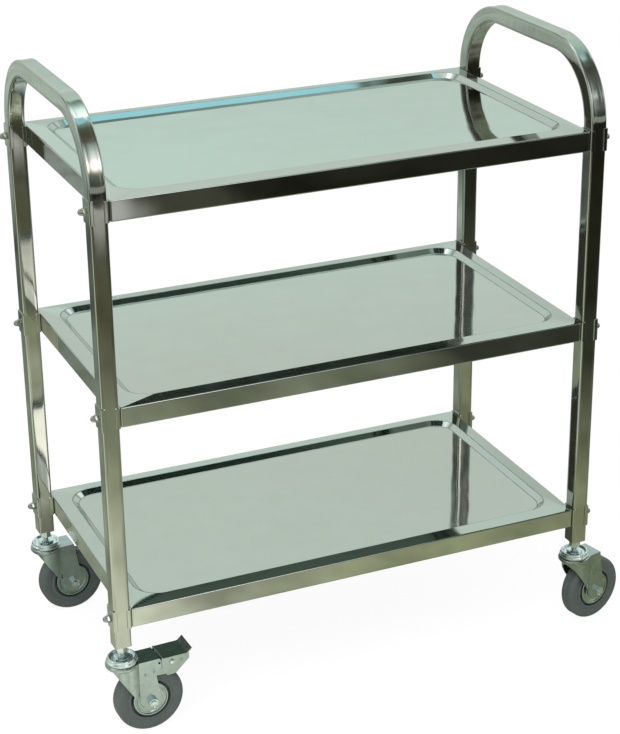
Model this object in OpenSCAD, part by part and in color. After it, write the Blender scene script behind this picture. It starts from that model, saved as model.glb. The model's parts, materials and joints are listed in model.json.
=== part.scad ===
// Three-tier stainless steel service cart on four swivel casters.
// X runs along the cart, Y across it and Z up; the floor is at Z = 0.
// The origin is the middle of the whole cart's plan, casters included.

/* [Side frames] */
// Length over the outer faces of the two side frames
cart_l = 780; // [640:5:960]
// Width over the outer faces of the legs
cart_w = 410; // [360:5:520]
// Side of the square tube
tube = 25; // [22:0.5:30]
// Wall of the square tube
tube_wall = 1.2; // [0.8:0.1:2]
// Outer corner radius of the square tube
tube_corner = 3; // [2.2:0.1:4]
// Outer radius of the two bends of a handle
bend_r = 118; // [60:1:150]
// Straight leg between the top tray and the bend
straight_rise = 1; // [1:1:80]

/* [Trays] */
// Height of the bottom tray above the open leg ends
low_rise = 61.5; // [45:0.5:90]
// Height of the middle tray above the bottom tray
low_bay = 315; // [220:1:360]
// Height of the top tray above the middle tray
top_bay = 296.5; // [220:0.5:360]
// Height of the folded skirts
skirt_h = 31; // [28:0.5:36]
// Thickness of the tray sheet
sheet = 1; // [0.8:0.1:1.5]
// Outer radius of the fold along the tray edges
fold_r = 2; // [1.6:0.1:3]
// Plan radius of the tray corners
tray_corner = 4; // [3.4:0.2:8]
// Radius of the relief cut at the tray corners
relief_r = 1.2; // [0.8:0.1:2]
// Width of the hem folded in under a skirt
hem = 8; // [5:0.5:12]
// Width of the flat border round the well
border = 23; // [18:0.5:40]
// Depth of the pressed well
well_depth = 5.5; // [4:0.5:8]
// Slope of the well's wall, in degrees
well_slope = 32; // [22:1:40]
// Middle radius of the two bends of the well's wall
well_bend = 5; // [3:0.5:6]
// Plan radius of the well's corners
well_corner = 40; // [32:1:60]

/* [Tray fixings] */
// Thickness of the saddle plates
saddle_t = 1.5; // [1:0.1:2]
// Reach of a saddle's lips over the leg
saddle_lap = 5.3; // [2.5:0.1:8]
// Height of the saddles above the tray top
saddle_over = 1; // [0.5:0.1:1]
// Height of the saddles below the skirt
saddle_under = 1.5; // [0.5:0.1:3]
// Gap between a saddle's lips and the leg
saddle_gap = 0.05; // [0.02:0.01:0.1]
// Diameter of the tray bolts
bolt_d = 6; // [5:0.5:7]
// Gap round a tray bolt in its holes
bolt_gap = 0.2; // [0.1:0.05:0.4]
// Size across the flats of the tray bolts and dome nuts
bolt_af = 10; // [9:0.5:12]
// Height of the bolt heads
bolt_head_h = 4; // [3:0.5:5]
// Height of the dome nuts
dome_h = 11; // [10:0.5:14]
// Height of the hexagon of a dome nut
dome_hex_h = 5; // [4:0.5:5]
// Diameter of the dome of a dome nut
dome_d = 9.2; // [8:0.1:9.6]

/* [Caster wheels] */
// Outside diameter of the tyres
wheel_d = 104; // [96:1:112]
// Width of the tyres
tyre_w = 26; // [22:0.5:27]
// Radius of the tyre's shoulders
tyre_shoulder = 7; // [4:0.5:8]
// Diameter of the rim that carries the tyre
seat_d = 66; // [64:1:76]
// Diameter of the hub's raised ring
hub_d = 54.5; // [50:0.5:58]
// Width of the hub at its disc faces
hub_w = 23; // [19:0.5:25]
// Height of the raised ring over the disc faces
ring_rise = 1.5; // [0.5:0.1:2]
// Width of the raised ring
ring_w = 3; // [2:0.5:5]
// Width of the thin web behind the dark groove
web_w = 12; // [8:0.5:14]
// Diameter of the wheel's bushes
bush_d = 18; // [16:0.5:22]
// Diameter of the axle bolt
axle_d = 8; // [7:0.5:9]
// Outside diameter of the sleeve that the wheel turns on
sleeve_d = 12; // [11:0.5:13]
// Size across the flats of the axle bolt and nut
axle_af = 13; // [12:0.5:15]
// Height of the axle bolt's head
axle_head_h = 5; // [4:0.5:6]
// Height of the axle nut
axle_nut_h = 6.5; // [5:0.5:8]
// Length of thread past the axle nut
axle_end = 1.6; // [1:0.1:4]

/* [Caster forks] */
// Distance of the axle behind the swivel axis
trail = 37; // [33:0.5:42]
// Gap between the tyre and the crown above it
wheel_gap = 13.8; // [12:0.2:20]
// Thickness of the fork's sheet
fork_t = 2.2; // [1.8:0.1:2.6]
// Gap between the fork's side plates
fork_gap = 31; // [30:0.5:34]
// Radius of the fork's rounded nose
nose_r = 22.5; // [21:0.5:24]
// Distance of the nose's centre behind the swivel axis
nose_x = 5; // [2:0.5:8]
// Length of the crown behind the swivel axis
crown_l = 41; // [38:0.5:44]
// Radius of the side plates' ends round the axle
lobe_r = 15; // [13:0.5:17]
// Outside diameter of the swivel head
head_d = 50; // [48:0.5:54]
// Turn of the front left caster about its stem
front_left_turn = 2; // [-180:1:180]
// Turn of the front right caster about its stem
front_right_turn = 13; // [-180:1:180]
// Turn of the back left caster about its stem
back_left_turn = 3; // [-180:1:180]
// Turn of the back right caster about its stem
back_right_turn = 8; // [-180:1:180]

/* [Swivel and stem] */
// Diameter of the kingpin inside the fork's crown
kingpin_d = 14; // [12:0.5:15]
// Gap round the turning kingpin and sleeve
running_gap = 0.08; // [0.03:0.01:0.1]
// Gap between a ball and the fork
ball_gap = 0.3; // [0.3:0.05:0.5]
// Gap between pieces that are fixed together
fixed_gap = 0.05; // [0.02:0.01:0.08]
// Diameter of the balls above the crown
upper_ball_d = 4; // [3.5:0.1:4.4]
// Diameter of the balls below the crown
lower_ball_d = 3; // [2.5:0.1:3.2]
// Pitch diameter of the upper balls
upper_race_d = 34; // [33:0.2:35]
// Pitch diameter of the lower balls
lower_race_d = 21; // [20:0.2:21.6]
// Balls in each upper race
upper_balls = 10; // [6:1:16]
// Balls in each lower race
lower_balls = 8; // [6:1:12]
// Diameter of the threaded stem
stem_d = 10; // [9:0.5:11]
// Height of the leg ends above the fork crowns
stem_rise = 29; // [28:0.5:36]
// Height of the nut under the leg
stem_nut_h = 12; // [8:0.5:13]
// Size across the flats of the nut under the leg
stem_nut_af = 15; // [14:0.5:17]
// Height of the nut in the swivel head's dish
head_nut_h = 4.5; // [4:0.5:6]
// Size across the flats of the nut in the dish
head_nut_af = 22; // [20:0.5:24]
// Height of the threaded insert in a leg
insert_h = 18; // [12:1:24]

/* [Brake] */
// Distance of the pedal's pin behind the swivel axis
pivot_x = 70; // [68:0.5:73]
// Depth of the pedal's pin below the crown
pivot_drop = 9; // [8:0.2:10]
// Diameter of the pedal's pin
pivot_d = 5; // [4:0.5:6]
// Radius of the fork's ears round the pedal's pin
ear_r = 6; // [5:0.2:6.4]
// Thickness of the pedal's sheet
pedal_t = 1.5; // [1.2:0.1:1.8]
// Gap between the pedal and the fork's ears
pedal_gap = 0.4; // [0.3:0.05:0.6]
// Gap between the pedal and the heads of its pin
pin_gap = 0.3; // [0.3:0.05:0.6]
// Distance of the pedal's near end behind the swivel axis
pedal_start = 53.5; // [53:0.5:56]
// Gap between the braked fork's crown and the pedal's near end
crown_gap = 2.5; // [1.5:0.5:6]
// Radius of the curl on the pedal's near end
curl_r = 1.2; // [0.9:0.1:1.4]
// Length of the pedal's flat top
pedal_l = 40; // [36:0.5:46]
// Length of the pedal's turned-up tip
pedal_tip = 11; // [8:0.5:14]
// Rise angle of the pedal's tip
tip_angle = 42; // [30:1:55]
// Gap between the brake shoe and the tyre
shoe_gap = 4.6; // [4.4:0.1:5]
// Thickness of the brake shoe
shoe_t = 2; // [1.5:0.1:2.4]
// Width of the brake shoe
shoe_w = 22; // [18:0.5:24]
// Place of the shoe round the wheel, from the top
shoe_angle = 43; // [41:0.5:45]
// Half the arc that the shoe covers, in degrees
shoe_half_arc = 6; // [4:0.5:7]

/* [Hidden] */
$fn = 64;

// Heights, from the floor up
wheel_r = wheel_d / 2;
crown_z = wheel_d + wheel_gap + fork_t;
leg_end_z = crown_z + stem_rise;
low_tray_z = leg_end_z + low_rise;
mid_tray_z = low_tray_z + low_bay;
top_tray_z = mid_tray_z + top_bay;
tray_tops = [low_tray_z, mid_tray_z, top_tray_z];
bend_z = top_tray_z + straight_rise;
handle_z = bend_z + bend_r;

// Places of the legs, in the order front left, front right, back left, back right
leg_x = (cart_l - tube) / 2;
leg_y = (cart_w - tube) / 2;
legs = [[-leg_x, -leg_y], [leg_x, -leg_y], [-leg_x, leg_y], [leg_x, leg_y]];
turns = [front_left_turn, front_right_turn, back_left_turn, back_right_turn];

// Trays fit between the inner saddles and are as wide as the cart
tray_l = cart_l - 2 * tube - 2 * saddle_t;
tray_w = cart_w;
well_l = tray_l - 2 * border;
well_w = tray_w - 2 * border;
wall_bend_drop = well_bend * (1 - cos(well_slope));
wall_run = (well_depth - 2 * wall_bend_drop) / sin(well_slope);
wall_w = 2 * well_bend * sin(well_slope) + wall_run * cos(well_slope);
floor_corner = well_corner - wall_w;
joint_drop = skirt_h / 2;

// Widths across the fork, from the middle of the wheel
plate_in = fork_gap / 2;
plate_out = plate_in + fork_t;
bush_end = plate_in - 0.4;
flange_in = plate_out + pedal_gap;
flange_out = flange_in + pedal_t;

// Swivel head, from the crown up and down
upper_ball_z = crown_z + ball_gap + upper_ball_d / 2;
cap_z = upper_ball_z + upper_ball_d / 2 + fixed_gap;
cap_t = 2;
crown_under = crown_z - fork_t;
lower_ball_z = crown_under - ball_gap - lower_ball_d / 2;
cup_z = lower_ball_z - lower_ball_d / 2 - fixed_gap;
cup_t = 1.2;
pin_head_h = 2.5;
pin_low = cup_z - cup_t - pin_head_h;
ring_in = 14.3;
axle = [trail, wheel_r];
pivot = [pivot_x, crown_z - pivot_drop];
pedal_top = crown_z - 0.5;
ear_low = wheel_r + 40;

// How far the casters and legs reach, to find the middle of the plan
function wheel_mid(i) = legs[i] + trail * [cos(turns[i]), sin(turns[i])];
function round_reach(a) = (wheel_r - tyre_shoulder) * abs(cos(a))
    + (tyre_w / 2 - tyre_shoulder) * abs(sin(a)) + tyre_shoulder;
function bolt_mid(i, far) = wheel_mid(i) + far * [-sin(turns[i]), cos(turns[i])];
bolt_far = plate_out + axle_head_h;
bolt_near = plate_out + axle_nut_h + axle_end;
side_x = cart_l / 2 + saddle_t + saddle_gap + dome_h;
side_y = cart_w / 2 + saddle_gap + saddle_t;
axle_ends = [for (i = [0:3]) for (far = [bolt_far, -bolt_near]) bolt_mid(i, far)[1]];
plan_right = max([side_x, for (i = [0:3]) wheel_mid(i)[0] + round_reach(turns[i])]);
plan_left = min([-side_x, for (i = [0:3]) wheel_mid(i)[0] - round_reach(turns[i])]);
plan_back = max([side_y, for (y = axle_ends) y]);
plan_front = min([-side_y, for (y = axle_ends) y]);
middle = [(plan_left + plan_right) / 2, (plan_front + plan_back) / 2, 0];

// Point where the line from p touches the circle round c, on the side s
function touch(p, c, r, s) = let (
    d = c - p,
    l = norm(d),
    a = atan2(d[1], d[0]) + s * asin(r / l)
) p + sqrt(l * l - r * r) * [cos(a), sin(a)];

module round_square(size, r) {
    square([size, size - 2 * r], center = true);
    square([size - 2 * r, size], center = true);
    for (x = [-1, 1]) {
        for (y = [-1, 1]) {
            translate([x, y] * (size / 2 - r))
                circle(r);
        }
    }
}

module round_plate(size, r) {
    square([size[0], size[1] - 2 * r], center = true);
    square([size[0] - 2 * r, size[1]], center = true);
    for (x = [-1, 1]) {
        for (y = [-1, 1]) {
            translate([x * (size[0] / 2 - r), y * (size[1] / 2 - r)])
                circle(r);
        }
    }
}

module hexagon(af, h) {
    cylinder(h = h, d = af / cos(30), $fn = 6);
}

// Part of a ring between two angles that are less than 180 degrees apart
module ring_sector(r_in, r_out, a0, a1) {
    far = 2 * r_out;
    mid = (a0 + a1) / 2;
    intersection() {
        difference() {
            circle(r_out);
            circle(r_in);
        }
        polygon([[0, 0], far * [cos(a0), sin(a0)], far * [cos(mid), sin(mid)], far * [cos(a1), sin(a1)]]);
    }
}

// Side frames: one bent square tube is two legs and a handle
module tube_section() {
    difference() {
        round_square(tube, tube_corner);
        round_square(tube - 2 * tube_wall, tube_corner - tube_wall);
    }
}

module side_frame(side) {
    top_l = cart_w - 2 * bend_r;
    translate([side * leg_x, 0, 0] - middle)
        difference() {
            union() {
                for (y = [-1, 1]) {
                    translate([0, y * leg_y, leg_end_z])
                        linear_extrude(bend_z - leg_end_z)
                            tube_section();
                    mirror([0, (1 - y) / 2, 0])
                        translate([0, cart_w / 2 - bend_r, bend_z])
                            rotate([90, 0, 90])
                                rotate_extrude(angle = 90)
                                    translate([bend_r - tube / 2, 0])
                                        tube_section();
                }
                translate([0, -top_l / 2, handle_z - tube / 2])
                    rotate([-90, 0, 0])
                        linear_extrude(top_l)
                            tube_section();
            }
            for (y = [-1, 1]) {
                for (z = tray_tops) {
                    translate([0, y * leg_y, z - joint_drop])
                        rotate([0, 90, 0])
                            cylinder(h = tube + 2, d = bolt_d + 2 * bolt_gap, center = true);
                }
            }
        }
}

module left_frame() {
    color("lightgray") side_frame(-1);
}

module right_frame() {
    color("lightgray") side_frame(1);
}

// Trays: a pressed well in a flat border, with a skirt folded down on four sides.
// The section is drawn outwards from the centre of the corner's plan radius.
module edge_section(inner) {
    skirt_x = tray_corner - sheet;
    translate([-inner, -sheet])
        square([inner + tray_corner - fold_r, sheet]);
    translate([tray_corner - fold_r, -fold_r])
        ring_sector(fold_r - sheet, fold_r, 0, 90);
    translate([skirt_x, -skirt_h])
        square([sheet, skirt_h - fold_r]);
    translate([inner > 0 ? tray_corner - hem : 0, -skirt_h])
        square([inner > 0 ? hem : tray_corner, sheet]);
}

// The wall's section runs inwards from the border and down to the floor.
// Its pieces lap over each other, and over the border and the floor by lap.
module wall_section() {
    lap = 1;
    low = sheet / 2 + well_bend;
    step = well_bend * [sin(well_slope), cos(well_slope)];
    slope = [cos(well_slope), -sin(well_slope)];
    lift = [sin(well_slope), cos(well_slope)] * sheet / 2;
    start = [0, -low] + step;
    end = start + wall_run * slope;
    nose = slope * sheet / 3;
    translate([-lap, -sheet])
        square([lap, sheet]);
    translate([0, -low])
        ring_sector(well_bend - sheet / 2, well_bend + sheet / 2, 90 - well_slope, 90);
    polygon([start + lift, end + lift, end + nose, end - lift, start - lift, start - nose]);
    translate([wall_w, -well_depth - sheet / 2 + well_bend]) {
        ring_sector(well_bend - sheet / 2, well_bend + sheet / 2, 270 - well_slope, 270);
        translate([0, -well_bend - sheet / 2])
            square([lap, sheet]);
    }
}

module along_edge(length) {
    rotate([90, 0, 90])
        linear_extrude(length, center = true)
            children();
}

module tray(z) {
    straight_l = tray_l - 2 * tray_corner;
    straight_w = tray_w - 2 * tray_corner;
    notch_in = tray_corner * (1 - cos(45));
    translate([0, 0, z] - middle)
        difference() {
            union() {
                for (turn = [0, 180]) {
                    rotate([0, 0, turn])
                        translate([0, straight_w / 2, 0])
                            along_edge(straight_l)
                                edge_section(1);
                    rotate([0, 0, turn + 90])
                        translate([0, straight_l / 2, 0])
                            along_edge(straight_w)
                                edge_section(1);
                    rotate([0, 0, turn + 180])
                        translate([0, well_w / 2, 0])
                            mirror([0, 1, 0])
                                along_edge(well_l - 2 * well_corner)
                                    wall_section();
                    rotate([0, 0, turn + 270])
                        translate([0, well_l / 2, 0])
                            mirror([0, 1, 0])
                                along_edge(well_w - 2 * well_corner)
                                    wall_section();
                }
                for (x = [-1, 1]) {
                    for (y = [-1, 1]) {
                        mirror([(1 - x) / 2, 0, 0])
                            mirror([0, (1 - y) / 2, 0]) {
                                translate([straight_l, straight_w, 0] / 2)
                                    rotate_extrude(angle = 90)
                                        edge_section(0);
                                translate([well_l / 2 - well_corner, well_w / 2 - well_corner, 0])
                                    rotate_extrude(angle = 90)
                                        translate([well_corner, 0])
                                            mirror([1, 0])
                                                wall_section();
                            }
                    }
                }
                translate([0, 0, -sheet])
                    linear_extrude(sheet)
                        difference() {
                            square([straight_l, straight_w], center = true);
                            round_plate([well_l, well_w], well_corner);
                        }
                translate([0, 0, -well_depth - sheet])
                    linear_extrude(sheet)
                        round_plate([well_l, well_w] - [2, 2] * wall_w, floor_corner);
            }
            for (x = [-1, 1]) {
                for (y = [-1, 1]) {
                    translate([x * (tray_l / 2 - notch_in), y * (tray_w / 2 - notch_in), -fold_r - 1])
                        cylinder(h = fold_r + 2, r = relief_r);
                    translate([x * tray_l / 2, y * leg_y, -joint_drop])
                        rotate([0, 90, 0])
                            cylinder(h = 4 * sheet, d = bolt_d + 2 * bolt_gap, center = true);
                }
            }
        }
}

module top_tray() {
    color("gainsboro") tray(top_tray_z);
}

module middle_tray() {
    color("gainsboro") tray(mid_tray_z);
}

module bottom_tray() {
    color("gainsboro") tray(low_tray_z);
}

// Tray fixings: repeated at each leg and tray, with local X outwards
// from the middle of the leg at the height of the bolt
module at_joints() {
    for (leg = legs) {
        for (z = tray_tops) {
            translate([0, leg[1], z - joint_drop] - middle)
                mirror([leg[0] < 0 ? 1 : 0, 0, 0])
                    translate([leg_x, 0, 0])
                        children();
        }
    }
}

// Channel round one face of the leg, with its web's outer face at X = web_x
module saddle_section(web_x, out) {
    half = tube / 2 + saddle_gap + saddle_t;
    depth = saddle_t + saddle_lap;
    outer_r = saddle_t + 0.8;
    lip_r = saddle_t / 2 - 0.01;
    translate([web_x, 0])
        mirror([(1 - out) / 2, 0])
            difference() {
                union() {
                    translate([-depth + lip_r, -half])
                        square([depth - lip_r - outer_r, 2 * half]);
                    translate([-outer_r, -half + outer_r])
                        square([outer_r, 2 * (half - outer_r)]);
                    for (y = [-1, 1]) {
                        translate([-outer_r, y * (half - outer_r)])
                            circle(outer_r);
                        translate([-depth + lip_r, y * (half - saddle_t / 2)])
                            circle(lip_r);
                    }
                }
                translate([-depth - 1, -half + saddle_t])
                    square([depth + 1 - saddle_t, 2 * (half - saddle_t)]);
            }
}

module saddle(web_x, out, low, high) {
    difference() {
        translate([0, 0, low])
            linear_extrude(high - low)
                saddle_section(web_x, out);
        rotate([0, 90, 0])
            cylinder(h = 2 * cart_w, d = bolt_d + 2 * bolt_gap, center = true);
    }
}

module inner_saddles() {
    color("silver")
        at_joints()
            saddle(-tube / 2 - saddle_t, -1, -joint_drop, joint_drop - fold_r / 2);
}

module outer_saddles() {
    color("silver")
        at_joints()
            saddle(tube / 2 + saddle_gap + saddle_t, 1,
                -joint_drop - saddle_under, joint_drop + saddle_over);
}

module tray_bolts() {
    head_x = -tube / 2 - saddle_t - sheet;
    end_x = tube / 2 + saddle_gap + saddle_t + dome_hex_h;
    color("silver")
        at_joints()
            rotate([0, 90, 0]) {
                translate([0, 0, head_x - 1])
                    cylinder(h = end_x - head_x + 1, d = bolt_d);
                translate([0, 0, head_x - bolt_head_h])
                    hexagon(bolt_af, bolt_head_h);
            }
}

module dome_nuts() {
    dome_r = dome_d / 2;
    color("whitesmoke")
        at_joints()
            translate([tube / 2 + saddle_gap + saddle_t, 0, 0])
                rotate([0, 90, 0])
                    difference() {
                        union() {
                            hexagon(bolt_af, dome_hex_h);
                            cylinder(h = dome_h - dome_r, r = dome_r);
                            translate([0, 0, dome_h - dome_r])
                                sphere(dome_r);
                        }
                        translate([0, 0, -1])
                            cylinder(h = dome_hex_h + 2, d = bolt_d + 2 * fixed_gap);
                    }
}

// Stems and swivel heads, centred on each leg
module at_legs() {
    for (leg = legs) {
        translate([leg[0], leg[1], 0] - middle)
            children();
    }
}

module leg_inserts() {
    side = tube - 2 * tube_wall - 2 * fixed_gap;
    color("dimgray")
        at_legs()
            translate([0, 0, leg_end_z])
                difference() {
                    linear_extrude(insert_h)
                        round_square(side, tube_corner - tube_wall - fixed_gap);
                    translate([0, 0, -1])
                        cylinder(h = insert_h + 2, d = stem_d + 2 * fixed_gap);
                }
}

module stem(i) {
    color("lightsteelblue")
        translate([legs[i][0], legs[i][1], pin_low] - middle) {
            cylinder(h = pin_head_h, d = kingpin_d + 5);
            cylinder(h = cap_z - pin_low, d = kingpin_d);
            cylinder(h = leg_end_z + insert_h - 2 - pin_low, d = stem_d);
        }
}

module stem_front_left() {
    stem(0);
}

module stem_front_right() {
    stem(1);
}

module stem_back_left() {
    stem(2);
}

module stem_back_right() {
    stem(3);
}

// Upper bearing cap: a dish whose rim and skirt cover the upper balls
module swivel_caps() {
    skirt_in = (upper_race_d + upper_ball_d) / 2 + 0.6;
    skirt_out = head_d / 2 - 1.8;
    rim_r = 1.9;
    rim_x = skirt_in;
    rim_z = cap_t + 2;
    skirt_z = crown_z + 1.1 - cap_z;
    color("lightsteelblue")
        at_legs()
            translate([0, 0, cap_z])
                rotate_extrude() {
                    polygon([
                        [stem_d / 2 + fixed_gap, 0], [skirt_in, 0], [skirt_in, skirt_z],
                        [skirt_out - 0.4, skirt_z], [skirt_out, skirt_z + 0.8], [skirt_out, 0],
                        [rim_x + rim_r, cap_t], [rim_x + rim_r, rim_z], [rim_x - rim_r, rim_z],
                        [rim_x - rim_r - 1.6, cap_t], [stem_d / 2 + fixed_gap, cap_t],
                    ]);
                    translate([rim_x, rim_z])
                        circle(rim_r);
                }
}

module lower_cups() {
    cup_r = ring_in - 0.8;
    color("lightsteelblue")
        at_legs()
            translate([0, 0, cup_z - cup_t])
                difference() {
                    cylinder(h = cup_t, r = cup_r);
                    translate([0, 0, -1])
                        cylinder(h = cup_t + 2, d = kingpin_d + 2 * fixed_gap);
                }
}

module ball_ring(count, pitch_d, ball_d, z) {
    for (k = [0:count - 1]) {
        rotate([0, 0, k * 360 / count])
            translate([pitch_d / 2, 0, z])
                sphere(d = ball_d);
    }
}

module swivel_balls() {
    color("white")
        at_legs() {
            ball_ring(upper_balls, upper_race_d, upper_ball_d, upper_ball_z);
            ball_ring(lower_balls, lower_race_d, lower_ball_d, lower_ball_z);
        }
}

module head_nuts() {
    color("lightsteelblue")
        at_legs()
            translate([0, 0, cap_z + cap_t])
                difference() {
                    hexagon(head_nut_af, head_nut_h);
                    translate([0, 0, -1])
                        cylinder(h = head_nut_h + 2, d = stem_d + 2 * fixed_gap);
                }
}

module stem_nuts() {
    color("lightsteelblue")
        at_legs()
            translate([0, 0, leg_end_z - stem_nut_h])
                difference() {
                    hexagon(stem_nut_af, stem_nut_h);
                    translate([0, 0, -1])
                        cylinder(h = stem_nut_h + 2, d = stem_d + 2 * fixed_gap);
                }
}

// Casters: local X runs from the swivel axis back to the axle
module at_caster(i) {
    translate([legs[i][0], legs[i][1], 0] - middle)
        rotate([0, 0, turns[i]])
            children();
}

// Turns a section in X and Z into a plate across the caster
module across(width) {
    rotate([90, 0, 0])
        linear_extrude(width, center = true)
            children();
}

module at_axle() {
    translate([axle[0], 0, axle[1]])
        rotate([90, 0, 0])
            children();
}

// Plan of the fork, drawn in by a distance from its outer face
module fork_plan(inset, back) {
    half = plate_out - inset;
    translate([nose_x, 0])
        circle(nose_r - inset);
    translate([nose_x, -half])
        square([back - nose_x, 2 * half]);
}

module side_outline(braked) {
    nose_low = [nose_x - nose_r - 1, crown_z - 8];
    nose_top = [nose_x - nose_r - 1, crown_z];
    back_top = [crown_l, crown_z];
    back_knee = [trail + lobe_r - 3.4, wheel_r + 20];
    polygon([
        nose_top, back_top, back_knee,
        touch(back_knee, axle, lobe_r, 1), axle, touch(nose_low, axle, lobe_r, -1), nose_low,
    ]);
    translate(axle)
        circle(lobe_r);
    if (braked) {
        ear_start = pedal_start - crown_gap;
        polygon([
            [crown_l - 4, crown_z], [ear_start, crown_z], [pedal_start, pivot[1] + ear_r - 1.5],
            [pivot_x, pivot[1] + ear_r], pivot, [pivot_x, pivot[1] - ear_r],
            [pedal_start + 7, ear_low], [crown_l, ear_low + 1],
        ]);
        translate(pivot)
            circle(ear_r);
    }
}

// The raised race round the head, below the balls
module head_ring() {
    r = head_d / 2;
    rotate_extrude()
        translate([0, crown_z])
            polygon([
                [ring_in, -5], [r - 3.5, -7], [r - 1.2, -6.2], [r, -4.4], [r, -1.8],
                [r - 0.6, -0.2], [r - 1.8, 0.6], [r - 4.4, 0.6], [r - 4.4, -1], [ring_in, -1],
            ]);
}

module fork(i, braked) {
    crown_back = braked ? pedal_start - crown_gap : crown_l;
    color("lightsteelblue")
        at_caster(i)
            difference() {
                union() {
                    intersection() {
                        linear_extrude(crown_z)
                            difference() {
                                fork_plan(0, pivot_x + ear_r + 1);
                                fork_plan(fork_t, pivot_x + ear_r + 2);
                            }
                        across(4 * plate_out)
                            side_outline(braked);
                    }
                    translate([0, 0, crown_under])
                        linear_extrude(fork_t)
                            fork_plan(0, crown_back);
                    head_ring();
                }
                cylinder(h = 2 * crown_z, d = kingpin_d + 2 * running_gap);
                at_axle()
                    cylinder(h = 4 * plate_out, d = axle_d + 2 * bolt_gap, center = true);
                if (braked) {
                    translate([pivot[0], 0, pivot[1]])
                        rotate([90, 0, 0])
                            cylinder(h = 4 * plate_out, d = pivot_d + 2 * fixed_gap, center = true);
                    translate([pedal_start - 3, 0, pivot[1] + 1.5])
                        rotate([90, 0, 0])
                            cylinder(h = 4 * plate_out, r = 1.8, center = true);
                }
            }
}

module fork_front_left() {
    fork(0, true);
}

module fork_front_right() {
    fork(1, false);
}

module fork_back_left() {
    fork(2, false);
}

module fork_back_right() {
    fork(3, false);
}

module axle_bolt(i) {
    color("silver")
        at_caster(i)
            at_axle() {
                translate([0, 0, -plate_out - axle_head_h])
                    hexagon(axle_af, axle_head_h);
                translate([0, 0, -plate_out - 1])
                    cylinder(h = plate_out + bolt_near + 1, d = axle_d);
            }
}

module axle_bolt_front_left() {
    axle_bolt(0);
}

module axle_bolt_front_right() {
    axle_bolt(1);
}

module axle_bolt_back_left() {
    axle_bolt(2);
}

module axle_bolt_back_right() {
    axle_bolt(3);
}

module axle_nut(i) {
    color("silver")
        at_caster(i)
            at_axle()
                translate([0, 0, plate_out])
                    difference() {
                        hexagon(axle_af, axle_nut_h);
                        translate([0, 0, -1])
                            cylinder(h = axle_nut_h + 2, d = axle_d + 2 * fixed_gap);
                    }
}

module axle_nut_front_left() {
    axle_nut(0);
}

module axle_nut_front_right() {
    axle_nut(1);
}

module axle_nut_back_left() {
    axle_nut(2);
}

module axle_nut_back_right() {
    axle_nut(3);
}

module axle_sleeve(i) {
    color("silver")
        at_caster(i)
            at_axle()
                difference() {
                    cylinder(h = fork_gap, d = sleeve_d, center = true);
                    cylinder(h = fork_gap + 2, d = axle_d + 2 * bolt_gap, center = true);
                }
}

module axle_sleeve_front_left() {
    axle_sleeve(0);
}

module axle_sleeve_front_right() {
    axle_sleeve(1);
}

module axle_sleeve_back_left() {
    axle_sleeve(2);
}

module axle_sleeve_back_right() {
    axle_sleeve(3);
}

// Half of the hub's section, as radius and distance from the wheel's middle
hub_bore = bush_d / 2;
hub_half = [
    [hub_bore, bush_end - 1], [hub_bore + 3.5, bush_end - 1], [hub_bore + 5, hub_w / 2],
    [hub_d / 2 - ring_w - 0.6, hub_w / 2], [hub_d / 2 - ring_w, hub_w / 2 + ring_rise],
    [hub_d / 2 - 0.8, hub_w / 2 + ring_rise], [hub_d / 2, hub_w / 2 + ring_rise - 1],
    [hub_d / 2, web_w / 2], [seat_d / 2 - fixed_gap, web_w / 2],
];

module hub(i) {
    n = len(hub_half);
    color("lightslategray")
        at_caster(i)
            at_axle()
                rotate_extrude()
                    polygon([
                        for (p = hub_half) p,
                        for (k = [n - 1:-1:0]) [hub_half[k][0], -hub_half[k][1]],
                    ]);
}

module hub_front_left() {
    hub(0);
}

module hub_front_right() {
    hub(1);
}

module hub_back_left() {
    hub(2);
}

module hub_back_right() {
    hub(3);
}

module wheel_bushes(i) {
    bore = sleeve_d / 2 + running_gap;
    barrel = bush_d / 2 - fixed_gap;
    color("ivory")
        at_caster(i)
            at_axle()
                for (s = [0, 1]) {
                    mirror([0, 0, s])
                        difference() {
                            union() {
                                translate([0, 0, 4])
                                    cylinder(h = bush_end - 4, r = barrel);
                                translate([0, 0, bush_end - 0.95])
                                    cylinder(h = 0.95, r = barrel + 1.5);
                            }
                            cylinder(h = bush_end + 1, r = bore);
                        }
                }
}

module wheel_bushes_front_left() {
    wheel_bushes(0);
}

module wheel_bushes_front_right() {
    wheel_bushes(1);
}

module wheel_bushes_back_left() {
    wheel_bushes(2);
}

module wheel_bushes_back_right() {
    wheel_bushes(3);
}

module tyre(i) {
    s = tyre_shoulder;
    half = tyre_w / 2;
    color("dimgray")
        at_caster(i)
            at_axle()
                rotate_extrude() {
                    translate([seat_d / 2, -half])
                        square([wheel_r - s - seat_d / 2, tyre_w]);
                    translate([wheel_r - s, s - half])
                        square([s, tyre_w - 2 * s]);
                    for (y = [-1, 1]) {
                        translate([wheel_r - s, y * (half - s)])
                            circle(s);
                    }
                }
}

module tyre_front_left() {
    tyre(0);
}

module tyre_front_right() {
    tyre(1);
}

module tyre_back_left() {
    tyre(2);
}

module tyre_back_right() {
    tyre(3);
}

// Brake pedal: an inverted channel that rocks on a pin through the fork's ears
tip_start = pedal_start + pedal_l;
tip_run = pedal_tip * [cos(tip_angle), sin(tip_angle)];

module pedal_top_section() {
    lift = pedal_t * [-sin(tip_angle), cos(tip_angle)];
    under = pedal_top - pedal_t;
    polygon([
        [pedal_start, under], [tip_start, under], [tip_start, under] + tip_run,
        [tip_start, under] + tip_run + lift, [tip_start - pedal_t * tan(tip_angle / 2), pedal_top],
        [pedal_start, pedal_top],
    ]);
    translate([pedal_start + curl_r, pedal_top + 0.8 - curl_r])
        circle(curl_r);
}

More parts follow.
